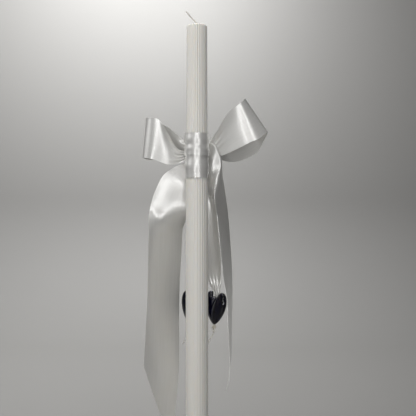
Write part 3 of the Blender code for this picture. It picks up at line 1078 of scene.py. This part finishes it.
# Each tail's stations, from the knot to past its cut end
TAIL_WAYS = {
    Side.LEFT: (
        ((-2.0, 1.0, -8.0), (-0.16, -0.10, 0.0)),
        ((-4.0, 0.2, -12.0), (-0.26, -0.10, 0.08)),
        ((-10.0, -4.2, -19.0), (-0.55, -0.04, 0.28)),
        ((-18.0, -6.7, -31.0), (-0.86, -0.05, 0.40), (0.0, -1.3, 0.0)),
        ((-24.2, -7.0, -43.0), (-0.95, -0.06, 0.25), (0.0, -2.0, 0.0)),
        ((-27.6, -6.5, -52.0), (-0.97, -0.07, 0.17), (0.0, -2.1, 0.0)),
        ((-30.0, -5.3, -60.5), (-0.96, -0.16, 0.10), (0.0, -1.9, 0.0)),
        ((-32.1, -4.1, -68.5), (-0.89, -0.40, 0.05), (0.0, -1.3, 0.0)),
        ((-33.3, -3.7, -79.0), (-0.79, -0.59, 0.0), (0.0, -0.4, 0.0)),
        ((-33.9, -3.5, -96.0), (-0.79, -0.60, 0.0)),
        ((-35.7, -3.5, -148.0), (-0.75, -0.65, 0.0)),
        ((-37.2, -4.0, -202.0), (-0.83, -0.55, 0.0)),
        ((-38.5, -4.5, -230.0), (-0.85, -0.52, 0.0)),
        ((-44.3, -4.8, -294.0), (-0.85, -0.52, 0.0)),
    ),
    Side.RIGHT: (
        ((7.0, -3.6, 7.0), (-0.01, -0.05, -0.32), (1.0, -1.2, 1.5)),
        ((9.4, -4.5, 4.0), (-0.01, -0.05, -0.36), (1.4, -1.5, 2.0)),
        ((12.2, -6.3, -4.5), (-0.14, -0.02, -0.48), (4.3, -3.4, 5.5)),
        ((14.5, -4.4, -18.0), (-0.30, -0.06, -0.40), (6.5, -4.7, 6.0)),
        ((16.5, 0.8, -33.0), (-0.40, -0.20, -0.25), (2.0, -10.3, 5.0)),
        ((21.0, 3.4, -46.5), (-0.30, -0.47, -0.12), (-4.0, -13.2, 2.5)),
        ((23.9, 5.8, -65.0), (-0.30, -0.81, -0.05), (-3.4, -4.8, 1.0)),
        ((26.4, 7.0, -93.0), (-0.29, -0.95, 0.0), (-1.0, 0.0, 0.0)),
        ((29.0, 7.2, -123.0), (-0.25, -0.96, 0.0)),
        ((31.0, 7.5, -148.0), (-0.17, -0.98, 0.0)),
        ((31.3, 7.5, -178.0), (-0.13, -0.98, 0.0)),
        ((31.7, 7.5, -206.5), (-0.08, -0.98, 0.17)),
        ((30.2, 7.5, -224.0), (0.0, -0.98, 0.40)),
        ((28.9, 7.0, -237.5), (0.05, -0.95, 0.57)),
    ),
}


@dataclass
class Bow:
    """Everything that is tied from the wide ribbon: two turns, knot, loops and tails."""

    satin: Satin = field(default_factory=Satin)
    knot_layer_mm: float = 24.0
    knot_square: float = 2.6  # 2 would make the knot round, and more makes it squarer
    knot_inset: float = 0.94  # share of its CAD box that it fills
    knot_thickness: float = 0.4 * MM
    swing_blend: float = 16.0 * MM

    def __post_init__(self) -> None:
        """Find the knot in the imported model."""
        low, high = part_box("bow_knot")
        self.knot = (low + high) / 2
        self.knot_size = high - low

    def build_turns(self) -> None:
        """The two turns of ribbon round the candle."""
        WrapTurn(
            "inner_turn",
            "ribbon_wrap_inner",
            self.satin,
            False,
            swell=-0.15 * MM,
            folds=((0.26, 0.11, 0.42), (0.03, 0.05, 0.08), (0.46, 0.06, -0.15)),
        ).build(self.knot)
        WrapTurn(
            "outer_turn",
            "ribbon_wrap_outer",
            self.satin,
            True,
            swell=0.05 * MM,
            slant=-0.4 * MM,
            folds=(
                (0.02, 0.10, 0.16),
                (0.30, 0.10, 0.32),
                (0.51, 0.08, -0.16),
                (0.74, 0.13, 0.36),
                (0.97, 0.06, 0.06),
            ),
        ).build(self.knot)

    def build_knot(self) -> None:
        """The knot: one layer of ribbon drawn round the loops in uneven pleats."""
        width, depth, height = self.knot_size
        rows, columns = 73, 36

        def place(row: int, side: float) -> Vector:
            """Where the knot's surface is, for a row's number and a share across."""
            turn = 2.0 * math.pi * (row % (rows - 1)) / (rows - 1)
            power = self.knot_square
            square = 1.0 / (abs(math.cos(turn)) ** power + abs(math.sin(turn)) ** power) ** (1.0 / power)
            tuck = 1.0 - 0.16 * side**4 - 0.22 * smoothstep(0.86, 1.0, abs(side))
            lean = 0.35 * math.sin(turn + 0.6)
            pleat = 0.55 * math.sin(7.2 * side + lean + 0.8) + 0.28 * math.sin(15.0 * side + 2.0 * lean)
            reach = square * tuck + 0.085 * pleat * (1.0 - 0.5 * side * side)
            x = side * width / 2 * (1.0 - 0.10 * math.cos(2.0 * turn))
            y = (depth / 2) * reach * math.cos(turn) * self.knot_inset
            z = (height / 2) * reach * math.sin(turn) * self.knot_inset
            return self.knot + Vector((x, y, z))

        flat = (self.knot_layer_mm * MM, math.pi * (depth + height) / 2)
        bm = cloth_grid(rows, columns, flat, place)
        bmesh.ops.remove_doubles(bm, verts=bm.verts, dist=0.001 * MM)
        knot = self.satin.dress(with_wall(bm, "knot", self.knot_thickness))
        stand_in(knot, "bow_knot")
        log.info("knot: %.0f by %.0f by %.0f mm", width / MM, depth / MM, height / MM)

    def build_loops(self) -> None:
        """Both loops, with the creases that run out of the knot's pinch."""
        creases = {
            Side.LEFT: (
                Crease((4.0, 0.3), (34.0, -0.4), 0.6, 3.6),
                Crease((4.0, 0.6), (30.0, 0.5), -0.5, 3.0),
            ),
            Side.RIGHT: (
                Crease((6.0, 0.5), (40.0, 0.35), 0.3, 3.0),
                Crease((6.0, -0.1), (44.0, -0.30), -0.3, 3.4),
                Crease((6.0, -0.6), (34.0, -0.80), 0.3, 2.6),
            ),
        }
        for side in Side:
            ribbon = Ribbon(
                f"loop_{side.value}",
                [Station(*row) for row in LOOP_WAYS[side]],
                self.satin,
                creases=creases[side],
                pleats=4.5,
                pleat_depth=0.9,
            )
            item = ribbon.finish(ribbon.sheet(self.knot))
            stand_in(item, f"bow_loop_{side.value}")

    def build_tails(self) -> None:
        """Both tails, cut on the slant."""
        creases = {Side.LEFT: (Crease((30.0, -0.97), (85.0, -0.98), -1.6, 6.0),)}
        cuts = {Side.LEFT: ((-54.2, -212.0), (-38.3, -266.0))}
        for side in Side:
            ribbon = Ribbon(
                f"tail_{side.value}",
                [Station(*row) for row in TAIL_WAYS[side]],
                self.satin,
                creases=creases.get(side, ()),
                row_mm=1.6,
                pleats=1.5,
            )
            bm = ribbon.sheet(self.knot)
            if side in cuts:
                self.cut_end(bm, *cuts[side])
            area = min(ribbon.flat[0] * ribbon.flat[1], sum(f.calc_area() for f in bm.faces))
            item = ribbon.finish(bm)
            hang(item, f"bow_tail_{side.value}", f"tail_{side.value}_swing", self.swing_blend)

    def cut_end(self, bm: Shape, start: tuple[float, float], end: tuple[float, float]) -> None:
        """Cut a hanging ribbon along a line seen from the front, and drop what is under it.

        Args:
            bm: The ribbon's sheet.
            start: X and Z of one end of the cut, in mm from the knot's centre.
            end: X and Z of the other.
        """
        a = self.knot + MM * Vector((start[0], 0.0, start[1]))
        b = self.knot + MM * Vector((end[0], 0.0, end[1]))
        down = Vector((0.0, 1.0, 0.0)).cross(b - a)
        if down.z > 0.0:
            down = -down
        geometry = [*bm.verts, *bm.edges, *bm.faces]
        bmesh.ops.bisect_plane(bm, geom=geometry, plane_co=a, plane_no=down, clear_outer=True)

    def build(self) -> None:
        """Make every piece of the bow."""
        self.build_turns()
        self.build_knot()
        self.build_loops()
        self.build_tails()


# Hearts


@dataclass
class Charm:
    """A glass heart under its own narrow ribbon, with a cord, a pearl and a stopper knot below it."""

    side: Side
    knot: Vector
    satin: Satin = field(default_factory=lambda: Satin(name="narrow_satin", width_mm=16.0))
    glass: CobaltGlass = field(default_factory=CobaltGlass)
    pearl: Pearl = field(default_factory=Pearl)
    rayon: Cotton = field(default_factory=lambda: Cotton(name="white_rayon_cord", roughness=0.5))
    face_turn_deg: float = -42.0
    thickness: float = 10.0 * MM
    # half of the heart's edge in mm from the cord's upper end, from the cleft round to the point
    edge_mm: Sequence[tuple[float, float]] = (
        *((0.0, 0.3), (2.3, 0.7), (4.0, 2.6), (5.0, 4.8), (6.9, 6.0), (9.8, 5.0), (12.2, 2.0)),
        *((13.2, -2.4), (12.9, -8.0), (11.2, -14.0), (8.2, -19.6), (4.6, -24.4), (1.8, -26.9), (0.0, -27.6)),
    )
    rings: int = 12
    pillow_deg: float = 88.0  # how far round its section the last ring is
    pillow_power: float = 0.75  # 1 would make the section an ellipse, and less makes it fuller
    polish: int = 14
    bore: float = 0.85 * MM
    # where the ribbon hangs flat, from the knot's centre
    flat_x_mm: Mapping[Side, float] = field(default_factory=lambda: {Side.LEFT: -4.6, Side.RIGHT: 14.4})
    flat_z_mm: float = -80.0
    gather_mm: float = 22.0
    gathered_mm: float = 6.4
    cord_radius: float = 0.60 * MM
    ply_pitch: float = 2.6 * MM
    cord_top: float = 1.7 * MM
    cord_tail: float = 13.0 * MM
    swing_blend: float = 14.0 * MM

    def __post_init__(self) -> None:
        """Find the point that the heart hangs from and the heart's own axes."""
        self.word = self.side.value
        joint = joint_named(f"heart_{self.word}_twist")
        self.pivot = Vector(joint["pos_m"])
        axis = Vector(joint["axis"])
        turn = Matrix.Rotation(math.atan2(axis.x, axis.z), 4, "Y")
        turn @= Matrix.Rotation(math.radians(self.face_turn_deg), 4, "Z")
        self.place = Matrix.Translation(self.pivot) @ turn
        self.body = f"charm_{self.word}"

    def build_ribbon(self) -> None:
        """The narrow ribbon from under the knot to the heart, pleated together at its lower end."""
        hinge = Vector(joint_named(f"hanger_{self.word}_swing")["pos_m"])
        start = (hinge - self.knot) / MM
        end = (self.pivot - self.knot) / MM
        end.z += 1.0
        flat = Vector((self.flat_x_mm[self.side], end.y, self.flat_z_mm))
        narrow = self.gathered_mm / self.satin.width_mm
        tall = self.gather_mm
        aside = flat.x - end.x
        stations = [
            Station((start.x, start.y - 1.0, start.z + 5.0), (narrow, 0.0, 0.0)),
            Station(tuple(start), (narrow, 0.0, 0.0)),
            Station(tuple(start.lerp(flat, 0.35)), (0.70, 0.0, 0.0)),
            Station(tuple(start.lerp(flat, 0.7)), (0.94, 0.24, 0.0), (0.0, -0.3, 0.0)),
            Station(tuple(flat), (0.94, 0.30, 0.0), (0.0, -0.3, 0.0)),
            Station((flat.x, end.y, end.z + 1.25 * tall), (0.94, 0.30, 0.0)),
            Station((end.x + 0.50 * aside, end.y, end.z + 0.66 * tall), (0.76, 0.15, 0.0)),
            Station((end.x + 0.08 * aside, end.y, end.z + 0.24 * tall), (narrow + 0.03, 0.0, 0.0)),
            Station((end.x, end.y, end.z + 0.10 * tall), (narrow - 0.04, 0.0, 0.0)),
            Station(tuple(end), (narrow - 0.06, 0.0, 0.0)),
        ]
        ribbon = Ribbon(
            f"charm_satin_{self.word}",
            stations,
            self.satin,
            pleats=4.0,
            pleat_depth=1.1,
            pleat_phase=1.1,
            slack_power=1.4,
            row_mm=1.1,
            thickness=0.28 * MM,
        )
        item = ribbon.finish(ribbon.sheet(self.knot))
        hang(item, f"charm_ribbon_{self.word}", f"hanger_{self.word}_swing", self.swing_blend)

    def finish_piece(
        self, bm: Shape, name: str, finish: Finish, node: str
    ) -> Item:
        """Place a shape drawn on the heart's own axes, dress it and hang it on the heart's body.

        Args:
            bm: The shape.
            name: The piece's name.
            finish: Its finish.
            node: The CAD node that it replaces.

        Returns:
            The piece.
        """
        bmesh.ops.transform(bm, matrix=self.place, verts=bm.verts)
        item = finish.dress(object_from(bm, f"{name}_{self.word}"))
        stand_in(item, f"{node}_{self.word}", self.body)
        return item

    def build_heart(self) -> None:
        """Blow the heart's edge up into a pillow and drill it for the cord."""
        half = smooth_line([Vector((x, 0.0, z)) * MM for x, z in self.edge_mm], 4)
        edge = half + [Vector((-p.x, 0.0, p.z)) for p in half[-2:0:-1]]
        core = Vector((0.0, 0.0, self.edge_mm[-1][1] * 0.33 * MM))
        bm = bmesh.new()
        verts = bmesh.ops.create_circle(bm, cap_ends=True, segments=len(edge), radius=1.0)["verts"]
        edges = bm.edges[:]
        for vert, at in zip(verts, edge):
            vert.co = at
        last = Vector((1.0, 0.0))
        for k in range(-self.rings, self.rings + 1):
            angle = math.radians(self.pillow_deg) * k / self.rings
            now = Vector((math.cos(angle) ** self.pillow_power, self.thickness / 2 * math.sin(angle)))
            if k > -self.rings:
                verts, edges = extrude_ring(bm, edges)
            grow = now.x / last.x
            for vert in verts:
                vert.co = core + (vert.co - core) * grow
                vert.co.y = now.y
            last = now
        bmesh.ops.contextual_create(bm, geom=edges)
        drill = bmesh.new()
        bore = {"radius1": self.bore, "radius2": self.bore, "depth": 90.0 * MM}
        bmesh.ops.create_cone(drill, cap_ends=True, segments=24, **bore)
        cutter = object_from(drill, "drill")
        crown = [v for v in bm.verts if abs(v.co.y) > 0.30 * self.thickness]
        for _ in range(self.polish):
            bmesh.ops.smooth_vert(bm, verts=crown, factor=0.5, use_axis_x=True, use_axis_z=True)
        heart = object_from(bm, "blank")
        hole = heart.modifiers.new("bore", "BOOLEAN")
        hole.operation = "DIFFERENCE"
        hole.solver = "EXACT"
        hole.object = cutter
        apply_modifiers(heart)
        drilled = bmesh.new()
        drilled.from_mesh(heart.data)
        bpy.data.objects.remove(cutter)
        bpy.data.objects.remove(heart)
        piece = self.finish_piece(drilled, "glass_heart", self.glass, "heart_charm")
        across = 2 * max(x for x, _ in self.edge_mm)
        log.info("%s: %.0f mm across, %.0f mm thick", piece.name, across, self.thickness / MM)

    def level(self, node: str) -> float:
        """How far up the heart's own axis a threaded piece's centre is."""
        return (self.place.inverted() @ middle(f"{node}_{self.word}")).z

    def build_bead(self) -> None:
        """The pearl, turned about its bore."""
        low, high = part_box(f"pearl_bead_{self.word}")
        radius = (high.y - low.y) / 2
        level = self.level("pearl_bead")
        lip = math.asin(self.bore / radius) + 0.06
        bm = bmesh.new()
        count = 20
        arc = [lip + (math.pi - 2 * lip) * k / count for k in range(count + 1)]
        outline = [(radius * math.sin(a), radius * math.cos(a)) for a in arc]
        outline += [(self.bore, -0.9 * radius), (self.bore, 0.9 * radius)]
        ring = [bm.verts.new((x, 0.0, z + level)) for x, z in outline]
        edges = [bm.edges.new((a, b)) for a, b in zip(ring, [*ring[1:], ring[0]])]
        turn = 2 * math.pi
        bmesh.ops.spin(bm, geom=edges, cent=(0, 0, 0), axis=(0, 0, 1), angle=turn, steps=32, use_merge=True)
        self.finish_piece(bm, "pearl", self.pearl, "pearl_bead")

    def build_stopper(self) -> None:
        """The knot under the pearl: the cord's own strand, coiled and crossed over itself."""
        level = self.level("cord_knot")
        coil, strand = 1.12 * MM, 0.52 * MM
        path = []
        for k in range(73):
            share = k / 72
            turn = 2 * math.pi * 2.4 * share
            radius = coil * (1.0 + 0.08 * math.sin(3 * turn))
            rise = (0.5 - share) * 1.7 * MM
            path.append(Vector((radius * math.cos(turn), radius * math.sin(turn), level + rise)))
        inner = Vector((0.35 * MM, 0.0, level))
        path = [inner + Vector((0, 0, 0.8 * MM)), *path, inner - Vector((0, 0, 0.8 * MM))]
        bm = bmesh.new()
        sweep(bm, smooth_line(path, 2), strand, 10)
        self.finish_piece(bm, "stopper_knot", self.rayon, "cord_knot")

    def build_cord(self) -> None:
        """The two-ply cord: straight through the heart, then free below its knot."""
        exit_level = self.level("cord_knot") - 1.4 * MM
        sway = Matrix.Rotation(math.radians(-self.face_turn_deg), 3, "Z")
        swing = [(0.0, 0.0), (0.0, -0.10), (-0.10, -0.34), (-0.27, -0.66), (-0.40, -1.0)]
        below = Vector((0.0, 0.0, exit_level))
        free = [sway @ Vector((x, 0.0, z)) * self.cord_tail + below for x, z in swing]
        drop = exit_level - self.cord_top
        straight = [Vector((0.0, 0.0, self.cord_top + drop * k / 16)) for k in range(16)]
        dense = smooth_line([*straight, *smooth_line(free, 8)], 3)
        length = lengths_along(dense)[-1]
        off = 0.50 * self.cord_radius

        def beside(turn: float) -> Vector:
            """Where a ply is beside the cord's centre line."""
            return Vector((off * math.cos(turn), off * math.sin(turn), 0.0))

        bm = twist(dense, 2, self.ply_pitch, beside, 0.60 * self.cord_radius)
        cord = self.finish_piece(bm, "charm_cord_strand", self.rayon, "charm_cord")
        path = [self.place @ p for p in dense]
        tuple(path[0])
        log.info("%s: %.1f mm long", cord.name, length / MM)

    def build(self) -> None:
        """Make every piece of the charm."""
        self.build_ribbon()
        self.build_heart()
        self.build_bead()
        self.build_stopper()
        self.build_cord()


def main() -> None:
    """Build everything in order and report each piece."""
    logging.basicConfig(level=logging.INFO, format="%(message)s")
    Studio().build()
    Taper().build()
    Wick().build()
    bow = Bow()
    bow.build()
    for side in Side:
        Charm(side, bow.knot).build()


if __name__ == "__main__":
    main()
